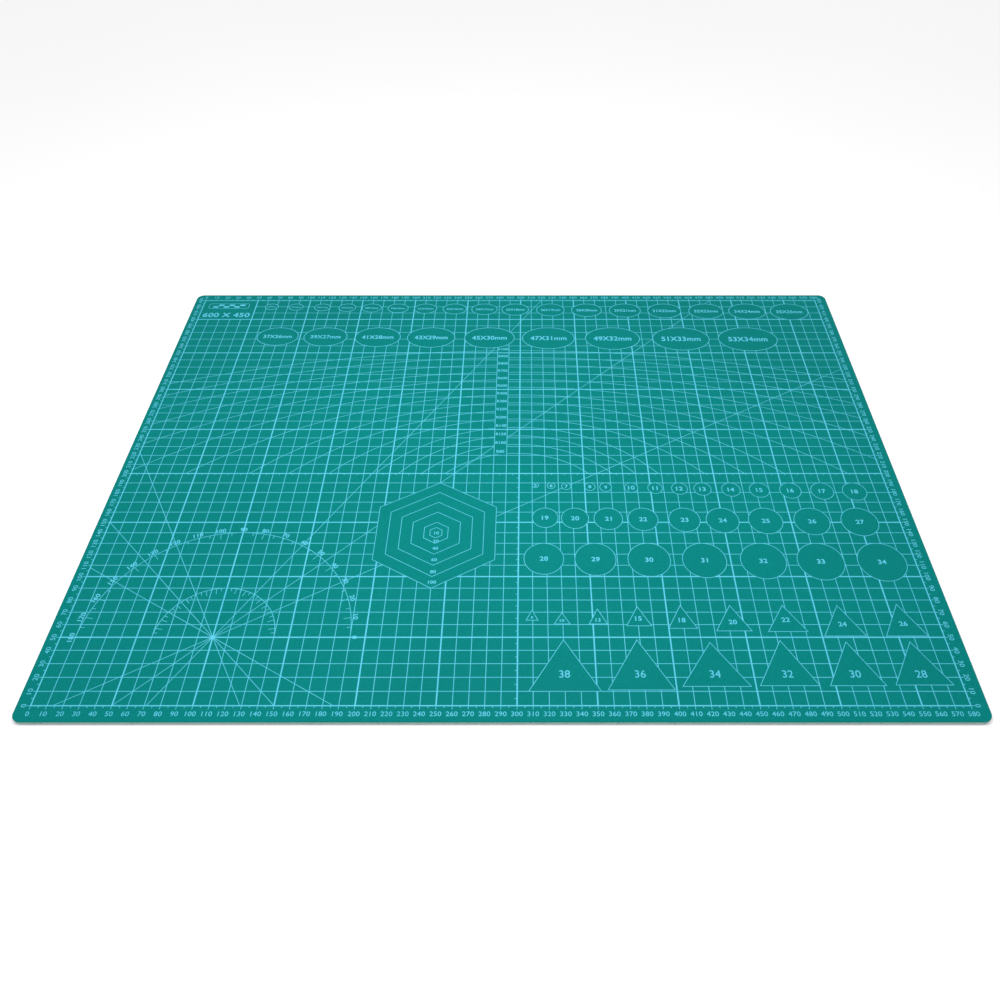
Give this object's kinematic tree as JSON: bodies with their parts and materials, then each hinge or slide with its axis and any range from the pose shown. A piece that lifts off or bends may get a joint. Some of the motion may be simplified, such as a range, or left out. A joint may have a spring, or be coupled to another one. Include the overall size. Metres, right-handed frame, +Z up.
{
  "type": "self healing cutting mat",
  "caption": "Flat A2 self healing cutting mat: two green PVC faces fused to a white hard core, with rounded corners, printed with metric measuring grids and templates.",
  "frame": {"origin": "centre of the underside, where the mat lies on the table", "axes": "+X along the long side, +Y away from the user across the short side, +Z up out of the work surface"},
  "size_m": [0.6, 0.45, 0.003],
  "materials": {
    "top_green_pvc": "matt, very fine pebble emboss",
    "white_core_pvc": "cut edge, satin",
    "bottom_green_pvc": "matt, very fine pebble emboss",
    "print_ink": "screen-printed ink, satin"
  },
  "bodies": {
    "root": {"top_healing_sheet": "top_green_pvc", "core_sheet": "white_core_pvc", "bottom_healing_sheet": "bottom_green_pvc"}
  },
  "joints": []
}
